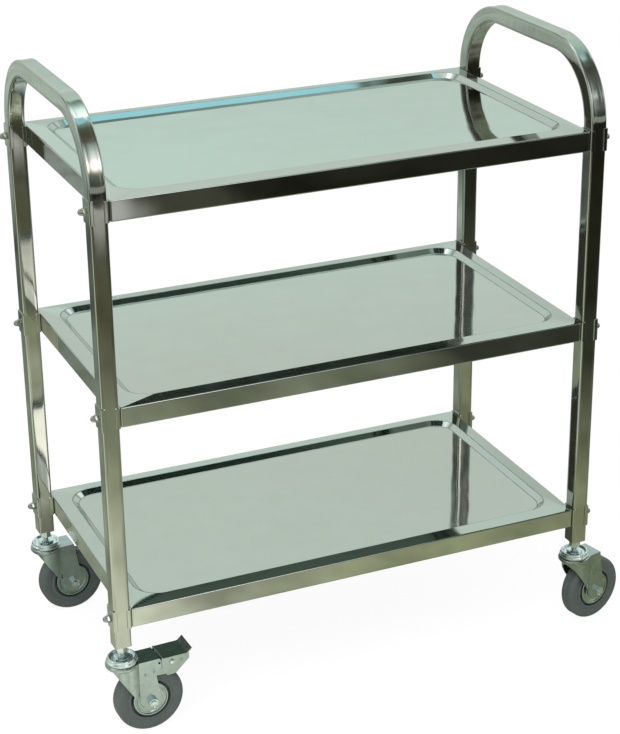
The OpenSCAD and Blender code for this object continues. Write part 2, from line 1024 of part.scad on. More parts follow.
module pedal_side_section() {
    low = ear_low - 2;
    polygon([
        [pedal_start, pedal_top], [tip_start + 3, pedal_top], [tip_start + 3, pedal_top - 9],
        [pedal_start + 21.5, low + 0.5], [pedal_start + 8, low], [pedal_start + 1, low + 12],
    ]);
}

module brake_pedal() {
    color("lightsteelblue")
        at_caster(0)
            difference() {
                union() {
                    across(2 * flange_out)
                        pedal_top_section();
                    for (s = [-1, 1]) {
                        translate([0, s * (flange_in + pedal_t / 2), 0])
                            across(pedal_t)
                                pedal_side_section();
                    }
                }
                translate([pivot[0], 0, pivot[1]])
                    rotate([90, 0, 0])
                        cylinder(h = 4 * plate_out, d = pivot_d + 2 * running_gap, center = true);
            }
}

// Brake shoe: a pad round the tyre on a leaf under the pedal's top
module brake_shoe() {
    pad_in = wheel_r + shoe_gap;
    mid = 90 - shoe_angle;
    leaf_top = pedal_top - pedal_t;
    foot = axle + (pad_in + shoe_t / 2) * [cos(mid), sin(mid)];
    color("gray")
        at_caster(0)
            across(shoe_w) {
                translate(axle)
                    ring_sector(pad_in, pad_in + shoe_t, mid - shoe_half_arc, mid + shoe_half_arc);
                polygon([
                    foot, foot + [1.5, 0.4], [pivot_x + 12.5, leaf_top - shoe_t],
                    [tip_start - 4, leaf_top - shoe_t], [tip_start - 4, leaf_top],
                    [pivot_x + 11, leaf_top],
                ]);
            }
}

module pedal_pin() {
    head_h = 1.4;
    color("silver")
        at_caster(0)
            translate([pivot[0], 0, pivot[1]])
                rotate([90, 0, 0]) {
                    cylinder(h = 2 * (flange_out + pin_gap + head_h / 2), d = pivot_d, center = true);
                    for (s = [0, 1]) {
                        mirror([0, 0, s])
                            translate([0, 0, flange_out + pin_gap])
                                cylinder(h = head_h, d = pivot_d + 3);
                    }
                }
}

left_frame();
right_frame();
top_tray();
middle_tray();
bottom_tray();
inner_saddles();
outer_saddles();
tray_bolts();
dome_nuts();
leg_inserts();
stem_front_left();
stem_front_right();
stem_back_left();
stem_back_right();
swivel_caps();
lower_cups();
swivel_balls();
head_nuts();
stem_nuts();
fork_front_left();
fork_front_right();
fork_back_left();
fork_back_right();
axle_bolt_front_left();
axle_bolt_front_right();
axle_bolt_back_left();
axle_bolt_back_right();
axle_nut_front_left();
axle_nut_front_right();
axle_nut_back_left();
axle_nut_back_right();
axle_sleeve_front_left();
axle_sleeve_front_right();
axle_sleeve_back_left();
axle_sleeve_back_right();
hub_front_left();
hub_front_right();
hub_back_left();
hub_back_right();
wheel_bushes_front_left();
wheel_bushes_front_right();
wheel_bushes_back_left();
wheel_bushes_back_right();
tyre_front_left();
tyre_front_right();
tyre_back_left();
tyre_back_right();
brake_pedal();
brake_shoe();
pedal_pin();
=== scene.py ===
import json
import math

import bmesh
import bpy
from bpy.props import FloatProperty, FloatVectorProperty, PointerProperty
from mathutils import Matrix, Vector


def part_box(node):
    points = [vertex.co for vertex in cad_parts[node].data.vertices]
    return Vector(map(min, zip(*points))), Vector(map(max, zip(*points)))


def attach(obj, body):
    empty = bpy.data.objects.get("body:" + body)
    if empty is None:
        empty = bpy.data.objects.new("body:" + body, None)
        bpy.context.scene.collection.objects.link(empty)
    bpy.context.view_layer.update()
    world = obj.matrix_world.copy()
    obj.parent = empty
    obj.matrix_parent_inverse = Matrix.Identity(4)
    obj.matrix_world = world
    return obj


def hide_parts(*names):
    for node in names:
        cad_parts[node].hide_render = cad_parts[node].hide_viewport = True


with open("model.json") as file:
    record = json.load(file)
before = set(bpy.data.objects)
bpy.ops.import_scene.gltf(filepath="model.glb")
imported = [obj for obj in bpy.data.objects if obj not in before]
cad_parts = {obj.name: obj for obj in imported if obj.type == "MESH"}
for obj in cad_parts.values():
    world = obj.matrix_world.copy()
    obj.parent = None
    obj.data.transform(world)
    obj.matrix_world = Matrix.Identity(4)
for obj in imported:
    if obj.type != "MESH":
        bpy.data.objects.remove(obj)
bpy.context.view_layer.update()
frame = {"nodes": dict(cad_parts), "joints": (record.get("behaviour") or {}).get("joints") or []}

bl_info = {
    "name": "Steel Tray Cart",
    "version": (1, 0, 0),
    "blender": (4, 5, 0),
    "location": "3D View > Sidebar > Cart",
    "description": "Dresses a three-tier stainless steel cart on swivel casters",
    "category": "Add Mesh",
}

MM = 0.001
CORNERS = ("front_left", "front_right", "back_left", "back_right")
JOINTS = {joint["name"]: joint for joint in frame["joints"]}
TRAYS = ("top_tray", "middle_tray", "bottom_tray")

# Sizes of the CAD source, in mm
BOLT_DROP = 15.5  # from a tray's top to its bolts
BOLT_HOLE = 3.2  # a tray bolt's radius and its gap
CROWN = JOINTS["swivel_front_left"]["pos_m"][2] / MM  # top of the forks
CAP = CROWN + 4.35  # underside of the swivel caps' dish
LEG_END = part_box("left_frame")[0].z / MM
PLATE = 17.7  # from a caster's middle to its fork's outer faces


# Places. What they move is in mm and comes out in metres.
MILLIMETRES = Matrix.Scale(MM, 4)


def leg_place(corner):
    """Foot of a leg's middle line, on the floor."""
    swivel = Vector(JOINTS["swivel_" + corner]["pos_m"])
    return Matrix.Translation((swivel.x, swivel.y, 0)) @ MILLIMETRES


def caster_place(corner):
    """The swivel axis on the floor, with X running back to the axle."""
    across = Vector(JOINTS["roll_" + corner]["axis"])
    back = across.cross(Vector((0, 0, 1)))
    axes = Matrix((back, across, Vector((0, 0, 1)))).transposed().to_4x4()
    return leg_place(corner) @ axes


def axle_place(corner):
    """The wheel's middle, with Z along the axle."""
    place = caster_place(corner)
    hub = place.inverted() @ Vector(JOINTS["roll_" + corner]["pos_m"])
    return place @ Matrix.Translation(hub) @ Matrix.Rotation(math.radians(-90), 4, "X")


def bolt_places():
    """The twelve tray bolts, with Z outwards along the bolt from the middle of the leg."""
    for corner in CORNERS:
        side = -90 if "left" in corner else 90
        for tray in TRAYS:
            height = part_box(tray)[1].z / MM - BOLT_DROP
            yield leg_place(corner) @ Matrix.Translation((0, 0, height)) @ Matrix.Rotation(math.radians(side), 4, "Y")


# Colours and shader nodes

def srgb(text):
    """Linear RGBA of an sRGB hex colour such as #B5CABE."""
    parts = [int(text[i:i + 2], 16) / 255 for i in (1, 3, 5)]
    return [p / 12.92 if p <= 0.04045 else ((p + 0.055) / 1.055) ** 2.4 for p in parts] + [1.0]


def add(tree, kind, inputs=None, **settings):
    """Adds one node; inputs maps a socket's name or number to a value or to another node's output."""
    made = tree.nodes.new(kind)
    for key, value in settings.items():
        setattr(made, key, value)
    for key, value in (inputs or {}).items():
        if isinstance(value, bpy.types.NodeSocket):
            tree.links.new(value, made.inputs[key])
        else:
            made.inputs[key].default_value = value
    return made


def graded(tree, value, stops):
    """Colours along a measure such as metres or degrees, through stops of (place, grey or linear RGB)."""
    low, high = stops[0][0], stops[-1][0]
    share = add(tree, "ShaderNodeMapRange", {0: value, 1: low, 2: high})
    ramp = add(tree, "ShaderNodeValToRGB", {0: share.outputs[0]})
    elements = ramp.color_ramp.elements
    while len(elements) < len(stops):
        elements.new(0.5)
    for element, (place, tone) in zip(elements, stops):
        element.position = (place - low) / (high - low)
        element.color = (*(tone if isinstance(tone, tuple) else (tone,) * 3), 1.0)
    return ramp.outputs[0]


def surface(name, **sockets):
    """A new material with a Principled shader; sockets are set on the shader itself."""
    made = bpy.data.materials.new(name)
    made.use_nodes = True
    tree = made.node_tree
    shader = tree.nodes["Principled BSDF"]
    for key, value in sockets.items():
        shader.inputs[key.replace("_", " ")].default_value = value
    place = add(tree, "ShaderNodeTexCoord").outputs["Object"]
    return made, tree, shader, place


NOISE_LOW, NOISE_HIGH = 0.3, 0.7  # where nearly all of a noise's values lie


def per_metre(size_mm):
    """A noise scale that gives features of about this real size."""
    return 1000.0 / size_mm


def stretched(tree, place, along, long_mm, short_mm, **noise):
    """Noise drawn out along one axis, as a belt or a drawing die leaves it."""
    scale = [per_metre(short_mm)] * 3
    scale["XYZ".index(along)] = per_metre(long_mm)
    lanes = add(tree, "ShaderNodeMapping", {"Vector": place, "Scale": scale})
    return add(tree, "ShaderNodeTexNoise", {"Vector": lanes.outputs[0], "Scale": 1.0, **noise})


def mottled(tree, shader, place, size_mm, dark, light, gloss=None, **noise):
    """Lets a noise with features of this size vary a finish: its colour from dark to light and, where a pair
    of them is given, its roughness."""
    cloud = add(tree, "ShaderNodeTexNoise", {"Vector": place, "Scale": per_metre(size_mm), **noise}).outputs["Fac"]
    tone = add(tree, "ShaderNodeMix", {0: cloud, 6: dark, 7: light}, data_type="RGBA")
    tree.links.new(tone.outputs[2], shader.inputs["Base Color"])
    if gloss:
        rough = add(tree, "ShaderNodeMapRange", {0: cloud, 1: NOISE_LOW, 2: NOISE_HIGH, 3: gloss[0], 4: gloss[1]})
        tree.links.new(rough.outputs[0], shader.inputs["Roughness"])


def relief(tree, shader, *layers):
    """Gives a finish its fine relief: layers of (noise, height in mm), each laid over the one before."""
    normal = {}
    for noise, height in layers:
        bump = add(tree, "ShaderNodeBump", {"Height": noise.outputs["Fac"], "Distance": height * MM, **normal})
        normal = {"Normal": bump.outputs[0]}
    tree.links.new(bump.outputs[0], shader.inputs["Normal"])


# Finishes. The heights of their fine relief are in mm. The real lines, grain and orange peel are too fine to
# show in a picture of the whole cart, so they are drawn about 1 to 2 mm wide.
SHEET_LINES, TUBE_LINES, ZINC_GRAIN, MOULD_PEEL = 0.0028, 0.008, 0.004, 0.03
MILL_ROUGHNESS = 0.36
CLEAR, HAZY = 0.7, 1.4  # shares of a polish's mean roughness


def polished_stainless_sheet(look):
    """AISI 304 sheet, buffed bright on its top side after pressing. The buffing leaves a shallow waviness
    that bends what the sheet mirrors, faint cross lines, and a haze that varies from place to place.
    The underside keeps the dull grey skin of the rolling mill."""
    made, tree, shader, place = surface("polished_stainless_sheet", Metallic=1.0)
    facing = add(tree, "ShaderNodeSeparateXYZ", {0: add(tree, "ShaderNodeTexCoord").outputs["Normal"]})
    below = add(tree, "ShaderNodeMapRange", {0: facing.outputs[2], 1: -0.3, 2: -0.6})
    haze = add(tree, "ShaderNodeTexNoise", {"Vector": place, "Scale": per_metre(45), "Detail": 5.0, "Roughness": 0.6})
    lines = stretched(tree, place, "X", 160, 1.6, Detail=3.0)
    tone = add(tree, "ShaderNodeMix", {0: haze.outputs["Fac"], 6: look.sheet_dark, 7: look.sheet_light},
               data_type="RGBA")
    skin = add(tree, "ShaderNodeMix", {0: below.outputs[0], 6: tone.outputs[2], 7: look.mill_skin}, data_type="RGBA")
    tree.links.new(skin.outputs[2], shader.inputs["Base Color"])
    gloss = add(tree, "ShaderNodeMapRange", {0: haze.outputs["Fac"], 1: NOISE_LOW, 2: NOISE_HIGH,
                                             3: look.sheet_roughness * CLEAR, 4: look.sheet_roughness * HAZY})
    rough = add(tree, "ShaderNodeMix", {0: below.outputs[0], 2: gloss.outputs[0], 3: MILL_ROUGHNESS})
    tree.links.new(rough.outputs[0], shader.inputs["Roughness"])
    wave = add(tree, "ShaderNodeTexNoise", {"Vector": place, "Scale": per_metre(85), "Detail": 1.0, "Roughness": 0.4})
    relief(tree, shader, (wave, look.sheet_wave), (lines, SHEET_LINES))
    return made


def crease_painted_shade(look):
    """AISI 304 in the tray's pressed creases, dull where the buffing wheel doesn't reach and darkened with painted
    shade:
    a thin dark line, darker than the sheet on both sides of it and broken up along its length."""
    made, tree, shader, place = surface("crease_painted_shade", Metallic=1.0)
    mottled(tree, shader, place, 18, look.crease_shade_dark, look.sheet_dark, (0.3, 0.16), Detail=4.0)
    return made


def polished_stainless_tube(look):
    """AISI 304 square tube, belt polished along its length and then buffed: mirror-like,
    with long faint lines and slow ripples that pull reflections into streaks."""
    made, tree, shader, place = surface("polished_stainless_tube", Metallic=1.0)
    mottled(tree, shader, place, 30, look.tube_dark, look.tube_light,
            (look.tube_roughness * CLEAR, look.tube_roughness * HAZY), Detail=4.0)
    ripple = stretched(tree, place, "Z", 90, 22, Detail=1.0)
    lines = stretched(tree, place, "Z", 140, 1.4, Detail=3.0)
    relief(tree, shader, (ripple, look.tube_wave), (lines, TUBE_LINES))
    return made


def bright_zinc_plate(look):
    """Blue-bright zinc electroplated over pressed mild steel: silvery with a cool cast,
    softer than polished steel, with a faint mottle where the plating took unevenly."""
    made, tree, shader, place = surface("bright_zinc_plate", Metallic=1.0)
    grain = add(tree, "ShaderNodeTexNoise", {"Vector": place, "Scale": per_metre(1.4), "Detail": 3.0})
    mottled(tree, shader, place, 9, look.zinc_dark, look.zinc_light,
            (look.zinc_roughness * 0.75, look.zinc_roughness * 1.3), Detail=6.0, Roughness=0.65)
    relief(tree, shader, (grain, ZINC_GRAIN))
    return made


def turned_bright_steel(look):
    """Blue-bright zinc over cold-formed and turned steel: the nuts, bolts, stems and swivel caps.
    Their tumbled faces took the plating more brightly and more evenly than the forks."""
    made, tree, shader, place = surface("turned_bright_steel", Metallic=1.0)
    mottled(tree, shader, place, 4, look.zinc_light, look.fastener_light, (0.2, 0.34), Detail=4.0)
    return made


def polished_stainless_nut(look):
    """Stainless dome nuts and bolts, tumbled and buffed: small mirrors that are dark but for their highlights."""
    made, tree, shader, place = surface("polished_stainless_nut", Metallic=1.0)
    mottled(tree, shader, place, 5, srgb("#8D8F89"), look.tube_light, (0.07, 0.15), Detail=3.0)
    return made


def plain_turned_steel(look):
    """Uncoated machined steel inside the legs: dull grey with a dark oil film."""
    made, tree, shader, place = surface("plain_turned_steel", Metallic=1.0, Roughness=0.42)
    mottled(tree, shader, place, 6, srgb("#3C3E3D"), srgb("#7C7F7D"), Detail=5.0)
    return made


def hardened_ball_steel(look):
    """Hardened chrome steel balls under a thin film of grease."""
    made, tree, shader, place = surface("hardened_ball_steel", Metallic=1.0, Roughness=0.08)
    mottled(tree, shader, place, 2.5, srgb("#A9A69A"), srgb("#D8DADB"))
    return made


def moulded_grey_rubber(look):
    """Thermoplastic rubber tread, injection moulded in neutral grey: satin, a little chalky
    where it has rubbed, with the fine orange-peel skin of the mould."""
    made, tree, shader, place = surface("moulded_grey_rubber", Roughness=0.5, IOR=1.52)
    peel = add(tree, "ShaderNodeTexNoise", {"Vector": place, "Scale": per_metre(0.9)})
    mottled(tree, shader, place, 14, look.rubber_dark, look.rubber_light, (0.42, 0.6), Detail=6.0, Roughness=0.62)
    relief(tree, shader, (peel, MOULD_PEEL))
    return made


def moulded_nylon(look):
    """Natural nylon 6 bushes, injection moulded: milky, satin and faintly yellow."""
    made, tree, shader, place = surface("moulded_nylon", Roughness=0.38, IOR=1.53)
    mottled(tree, shader, place, 5, srgb("#CFCBB8"), srgb("#E4E1D2"), Detail=3.0)
    return made


FINISHES = {
    "tray_steel": polished_stainless_sheet, "frame_steel": polished_stainless_tube,
    "saddle_steel": polished_stainless_tube, "bolt_steel": polished_stainless_nut,
    "insert_steel": plain_turned_steel, "zinc_fasteners": turned_bright_steel,
    "zinc_sheet": bright_zinc_plate, "hub_steel": bright_zinc_plate, "ball_steel": hardened_ball_steel,
    "bush_plastic": moulded_nylon, "tyre_rubber": moulded_grey_rubber,
}
READY = {}  # the materials made so far


def finish_for(slot):
    """The material of one of the record's slots, made once."""
    maker = FINISHES[slot]
    if maker not in READY:
        READY[maker] = maker(bpy.context.scene.cart_steel)
    return READY[maker]


def dress(names, slot):
    """Gives CAD nodes their finish."""
    for name in names:
        mesh = frame["nodes"][name].data
        mesh.materials.clear()
        mesh.materials.append(finish_for(slot))


# Meshes

def placed(name, data):
    """A new object in the scene."""
    made = bpy.data.objects.new(name, data)
    bpy.context.scene.collection.objects.link(made)
    return made


def keep_flat(made):
    """Keeps a piece's large faces flat in the light beside its rounded edges."""
    flat = made.modifiers.new("flat_faces", "WEIGHTED_NORMAL")
    flat.keep_sharp = True
    flat.weight = 100


def piece(name, bm, slot, body, stands_for=(), sharp=32, edge=0.0):
    """Turns a bmesh in the row frame into a finished piece that rides on a body. An edge, in mm, rounds off
    its arrises."""
    bmesh.ops.remove_doubles(bm, verts=bm.verts, dist=1e-7)
    bmesh.ops.recalc_face_normals(bm, faces=bm.faces)
    mesh = bpy.data.meshes.new(name)
    bm.to_mesh(mesh)
    bm.free()
    mesh.shade_smooth()
    mesh.set_sharp_from_angle(angle=math.radians(sharp))
    made = placed(name, mesh)
    mesh.materials.append(finish_for(slot))
    if edge:
        eased = made.modifiers.new("eased_edges", "BEVEL")
        eased.width = edge * MM
        eased.segments = 2
        eased.angle_limit = math.radians(sharp)
        eased.use_clamp_overlap = True
        keep_flat(made)
    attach(made, body)
    if stands_for:
        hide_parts(*stands_for)
    return made


def rounded(outline, radius, steps=3):
    """Rounds the corners of a closed outline with short curves."""
    soft = []
    for k, point in enumerate(outline):
        here, before, after = Vector(point), Vector(outline[k - 1]), Vector(outline[(k + 1) % len(outline)])
        reach_in, reach_out = before - here, after - here
        turn = reach_in.angle(reach_out, math.pi)
        if turn > math.radians(172) or here.x < 1e-6:
            soft.append(tuple(here))
            continue
        cut = radius / math.tan(turn / 2)
        start = here + reach_in.normalized() * min(cut, reach_in.length * 0.45)
        end = here + reach_out.normalized() * min(cut, reach_out.length * 0.45)
        for step in range(steps + 1):
            t = step / steps
            soft.append(tuple(start * (1 - t) ** 2 + here * 2 * t * (1 - t) + end * t * t))
    return soft


def turned(bm, outline, place, steps=96):
    """Turns a closed outline round Z. A point is (radius, height), or a function of the angle that gives them."""
    rings = []
    for point in outline:
        ring = []
        for k in range(steps):
            angle = 2 * math.pi * k / steps
            radius, height = point(angle) if callable(point) else point
            ring.append(bm.verts.new(place @ Vector((radius * math.cos(angle), radius * math.sin(angle), height))))
            if not callable(point) and radius < 1e-9:
                break
        rings.append(ring)
    for ring, after in zip(rings, rings[1:] + rings[:1]):
        for k in range(steps):
            corners = [ring[k % len(ring)], ring[(k + 1) % len(ring)],
                       after[(k + 1) % len(after)], after[k % len(after)]]
            corners = list(dict.fromkeys(corners))
            if len(corners) > 2:
                bm.faces.new(corners)


def hex_sides(across, low, high, ease=0.93):
    """Outline points up the side of a hexagon, with both ends chamfered at 30 degrees as a forged one is."""
    flat = across / 2

    def chamfer(end, sign):
        def point(angle):
            radius = flat / math.cos((angle + math.pi / 6) % (math.pi / 3) - math.pi / 6)
            return radius, end - sign * (radius - flat * ease) * math.tan(math.radians(30))
        return point

    return [(flat * ease, low), chamfer(low, -1), chamfer(high, 1), (flat * ease, high)]


def thread(radius, pitch, low, high):
    """Outline points up a screw thread, as deep as a metric one, with a rounded crest and root."""
    depth, rows_a_turn = 0.61 * pitch, 8

    def crest(height):
        def point(angle):
            turn = (height / pitch - angle / (2 * math.pi)) % 1
            return radius - depth * min(1.0, 2.4 * abs(turn - 0.5)) ** 1.5, height
        return point

    rows = max(2, round((high - low) / pitch * rows_a_turn))
    return [crest(low + (high - low) * row / rows) for row in range(rows + 1)]


def rivets(bm, place, reach, spots, outline):
    """Rivet heads on both sides of a caster, this far from its middle, at spots of (back from the swivel, height)."""
    for x, z in spots:
        for side in (-1, 1):
            spot = (place @ Matrix.Translation((x, side * reach, z))
                    @ Matrix.Rotation(math.radians(-90 * side), 4, "X"))
            turned(bm, outline, spot, 32)


def square_section(half, corner):
    """Points round a square tube: how far across, how far outward, and how much of the bend's dish each takes."""
    points = []
    for quarter in range(4):
        spin = Matrix.Rotation(quarter * math.pi / 2, 2)
        flat = half - corner
        for k in range(7):
            across = flat * (1 - k / 3)
            points.append(spin @ Vector((across, half)))
        for k in range(1, 6):
            angle = math.pi / 2 * (1 + k / 6)
            points.append(spin @ Vector((-flat + corner * math.cos(angle), flat + corner * math.sin(angle))))
    return points


def swept(bm, path, section, flat, sink):
    """Skins a tube along a path of (point, outward, dish). In a bend the outer and inner faces sink and the
    sides swell."""
    across = Vector((1, 0, 0))
    swell = 0.4  # of the sink
    rings = []
    for point, outward, dish in path:
        ring = []
        for spot in section:
            a, b = spot
            if abs(a) < flat + 1e-6:
                b -= math.copysign(sink * dish * max(0.0, 1 - (a / flat) ** 2), b)
            elif abs(b) < flat + 1e-6:
                a += math.copysign(swell * sink * dish * max(0.0, 1 - (b / flat) ** 2), a)
            ring.append(bm.verts.new((point + across * a + outward * b) * MM))
        rings.append(ring)
    for ring, after in zip(rings, rings[1:]):
        for k in range(len(ring)):
            n = (k + 1) % len(ring)
            bm.faces.new((ring[k], ring[n], after[n], after[k]))
    return rings[0], rings[-1]


def folded(corners):
    """Points along a folded line. A corner is (across, height, inner radius of the fold)."""
    line = [Vector(corners[0][:2])]
    for before, here, after in zip(corners, corners[1:], corners[2:]):
        spot, radius = Vector(here[:2]), here[2]
        back, on = (Vector(before[:2]) - spot).normalized(), (Vector(after[:2]) - spot).normalized()
        half = back.angle(on) / 2
        centre = spot + (back + on).normalized() * radius / math.sin(half)
        spoke = spot + back * radius / math.tan(half) - centre
        turn = math.copysign(math.pi - 2 * half, back.cross(on) * -1)
        steps = max(3, round(abs(turn) / math.radians(9)))
        line += [centre + Matrix.Rotation(turn * k / steps, 2) @ spoke for k in range(steps + 1)]
    return line + [Vector(corners[-1][:2])]


def bolt_hole(bm, place, start, end):
    """The cutter of a tray bolt's hole, between two distances from the middle of the leg."""
    turned(bm, [(0, start), (BOLT_HOLE, start), (BOLT_HOLE, end), (0, end)], place, 24)


def drilled(made, cutter):
    """Cuts the cutter's bmesh out of a piece."""
    mesh = bpy.data.meshes.new("drill")
    bmesh.ops.recalc_face_normals(cutter, faces=cutter.faces)
    cutter.to_mesh(mesh)
    cutter.free()
    drill = placed("drill", mesh)
    cut = made.modifiers.new("bolt_holes", "BOOLEAN")
    cut.operation = "DIFFERENCE"
    cut.solver = "EXACT"
    cut.object = drill
    bpy.context.view_layer.update()
    made.data = bpy.data.meshes.new_from_object(made.evaluated_get(bpy.context.evaluated_depsgraph_get()))
    made.modifiers.clear()
    made.data.set_sharp_from_angle(angle=math.radians(32))
    bpy.data.objects.remove(drill)


def pressed_copy(node, place, top, fold_radius):
    """A bmesh of a pressed CAD node with the folds between its top, at this height, and its sides rounded."""
    bm = bmesh.new()
    bm.from_mesh(frame["nodes"][node].data)
    bmesh.ops.remove_doubles(bm, verts=bm.verts, dist=1e-6)
    bmesh.ops.dissolve_limit(bm, angle_limit=math.radians(0.6), verts=bm.verts, edges=bm.edges)
    inverse = place.inverted()
    turn = inverse.to_3x3().normalized()
    square = 0.95  # how nearly a face has to point up or to a side
    chosen = []
    for edge in bm.edges:
        if len(edge.link_faces) == 2 and edge.calc_face_angle() > math.radians(60):
            normals = [turn @ face.normal for face in edge.link_faces]
            middle = inverse @ ((edge.verts[0].co + edge.verts[1].co) / 2)
            if (middle.z > top - 0.05 and max(n.z for n in normals) > square
                    and max(abs(n.y) for n in normals) > square):
                chosen.append(edge)
    bmesh.ops.bevel(bm, geom=chosen, offset=fold_radius * MM, segments=5, profile=0.5, affect="EDGES",
                    clamp_overlap=True)
    return bm


# Settings

def colour_of(name, description, text):
    """A colour setting whose default is an sRGB hex colour."""
    return FloatVectorProperty(name=name, description=description, subtype="COLOR", size=4, default=srgb(text))


def number_of(name, description, default):
    """A plain setting."""
    return FloatProperty(name=name, description=description, default=default)


def length_of(name, description, default):
    """A setting in mm."""
    return number_of(name, description + ", in mm", default)


def angle_of(name, description, degrees):
    """An angle setting."""
    return FloatProperty(name=name, description=description, subtype="ANGLE", unit="ROTATION",
                         default=math.radians(degrees))


class CartSteel(bpy.types.PropertyGroup):
    """Colours and polish of the metals and the rubber"""
    sheet_dark: colour_of("Sheet, darker", "Tray sheet where the haze is strongest", "#B9BEB9")
    sheet_light: colour_of("Sheet, lighter", "Tray sheet where it is clearest", "#C3C5C1")
    # painted shade: the dark colour given to the trays' creases
    crease_shade_dark: colour_of("Creases", "Pressed creases that the buffing misses", "#3A3F3B")
    mill_skin: colour_of("Mill skin", "Undersides of the trays, left as rolled", "#9AABAB")
    sheet_roughness: number_of("Sheet haze", "Mean roughness of the trays", 0.05)
    sheet_wave: length_of("Sheet waviness", "Height of the trays' slow waves", 0.5)
    tube_dark: colour_of("Tube, darker", "Tube where the haze is strongest", "#ABADA7")
    tube_light: colour_of("Tube, lighter", "Tube where it is clearest", "#BCBFB8")
    tube_roughness: number_of("Tube haze", "Mean roughness of the tubes", 0.08)
    tube_wave: length_of("Tube ripple", "Height of the tubes' ripples", 0.2)
    zinc_dark: colour_of("Zinc, darker", "Plating in its dull patches", "#869292")
    zinc_light: colour_of("Zinc, lighter", "Plating in its bright patches", "#C4D2D3")
    fastener_light: colour_of("Fasteners", "Bright faces of nuts and bolts", "#F2FBFC")
    zinc_roughness: number_of("Zinc haze", "Mean roughness of the plating", 0.2)
    rubber_dark: colour_of("Rubber, darker", "Clean rubber", "#474F4E")
    rubber_light: colour_of("Rubber, lighter", "Rubber with a chalky bloom", "#616A68")


class CartSizes(bpy.types.PropertyGroup):
    """Sizes that the finer pieces add to the frame's own"""
    bend_radius: length_of("Bend radius", "Outer radius of the handle's bends", 118.0)
    tube_wall: length_of("Tube wall", "Thickness of the tube", 1.2)
    tube_corner: length_of("Tube corner", "Outer corner radius of the tube", 3.0)
    bend_sink: length_of("Bend sink", "How far a bend's faces sink in", 0.45)
    tray_corner: length_of("Tray corner", "Plan radius of a tray's corners", 4.0)
    border: length_of("Tray border", "Width of the border round a tray's well", 23.0)
    border_rise: length_of("Border rise", "Height of the well's edge over the mean border", 1.2)
    border_fall: angle_of("Border fall", "How far the border tips down outwards", 5.5)
    well_corner: length_of("Well corner", "Plan radius of the well's corners", 40.0)
    well_depth: length_of("Well depth", "How far a tray's floor is sunk", 5.5)
    wall_slope: angle_of("Wall slope", "How steeply the well's wall falls", 36)
    fold_radius: length_of("Fold radius", "Outer radius of the forks' folds", 2.4)


class CartStage(bpy.types.PropertyGroup):
    """The room, the lamps and the camera"""
    lens: length_of("Lens", "Focal length on a 36 mm sensor", 94.33)
    spot: FloatVectorProperty(name="Camera", description="Camera's place from the middle of the legs",
                              subtype="TRANSLATION", unit="LENGTH", default=(-1.07031, -2.49457, 1.60894))
    heading: angle_of("Heading", "Camera's azimuth round the cart", -23.3654)
    drop: angle_of("Drop", "How far the camera looks down", 23.3127)
    roll: angle_of("Roll", "Camera's roll", -0.6966)
    lamp: number_of("Key lamp", "Power of the soft key lamp, in watts", 60.0)
    room: number_of("Room light", "Even light from all round", 0.62)


# Operators

class CART_OT_side_frames(bpy.types.Operator):
    """Bend the two side frames from square tube and drill them for the tray bolts"""
    bl_idname = "cart.side_frames"
    bl_label = "Side Frames"

    def execute(self, context):
        sizes = context.scene.cart_sizes
        for name in ("left_frame", "right_frame"):
            low, high = [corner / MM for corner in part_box(name)]
            half = (high.x - low.x) / 2
            middle = (low + high) / 2
            path = self.path(low, high, middle, half, sizes.bend_radius)
            flat = half - sizes.tube_corner
            bm = bmesh.new()
            outside = swept(bm, path, square_section(half, sizes.tube_corner), flat, sizes.bend_sink)
            bore = square_section(half - sizes.tube_wall, sizes.tube_corner - sizes.tube_wall)
            inside = swept(bm, path, bore, flat, sizes.bend_sink)
            for outer_ring, inner_ring in zip(outside, inside):
                for k in range(len(outer_ring)):
                    n = (k + 1) % len(outer_ring)
                    bm.faces.new((outer_ring[k], outer_ring[n], inner_ring[n], inner_ring[k]))
            made = piece(name + "_tube", bm, "frame_steel", "cart", (name,))
            holes = bmesh.new()
            for place in bolt_places():
                if (place.translation.x < 0) == (middle.x < 0):
                    bolt_hole(holes, place, -20, 20)
            drilled(made, holes)
        dress(["leg_inserts"], "insert_steel")
        return {"FINISHED"}

    def path(self, low, high, middle, half, radius):
        """Middle line of a frame from its front foot to its back foot, as (point, outward, dish)."""
        reach = (high.y - low.y) / 2 - radius
        start = high.z - radius
        faint, edge = 0.15, 0.4  # shares of the dish just outside a bend and where it starts
        front = [(Vector((middle.x, middle.y - reach - radius + half, height)), Vector((0, -1, 0)), dish)
                 for height, dish in ((low.z, 0), (start - 14, 0), (start - 6, faint))]
        steps, run_in = 30, 5
        for k in range(steps + 1):
            angle = math.pi / 2 * k / steps
            outward = Vector((0, -math.cos(angle), math.sin(angle)))
            near = min(1.0, min(k, steps - k) / run_in)
            dish = edge + (1 - edge) * near * near * (3 - 2 * near)
            front.append((Vector((middle.x, middle.y - reach, start)) + outward * (radius - half), outward, dish))
        front.append((Vector((middle.x, middle.y - reach + 6, high.z - half)), Vector((0, 0, 1)), faint))
        front.append((Vector((middle.x, middle.y - reach + 14, high.z - half)), Vector((0, 0, 1)), 0))
        back = [(Vector((p.x, 2 * middle.y - p.y, p.z)), Vector((0, -o.y, o.z)), dish) for p, o, dish in front]
        return front + back[::-1]


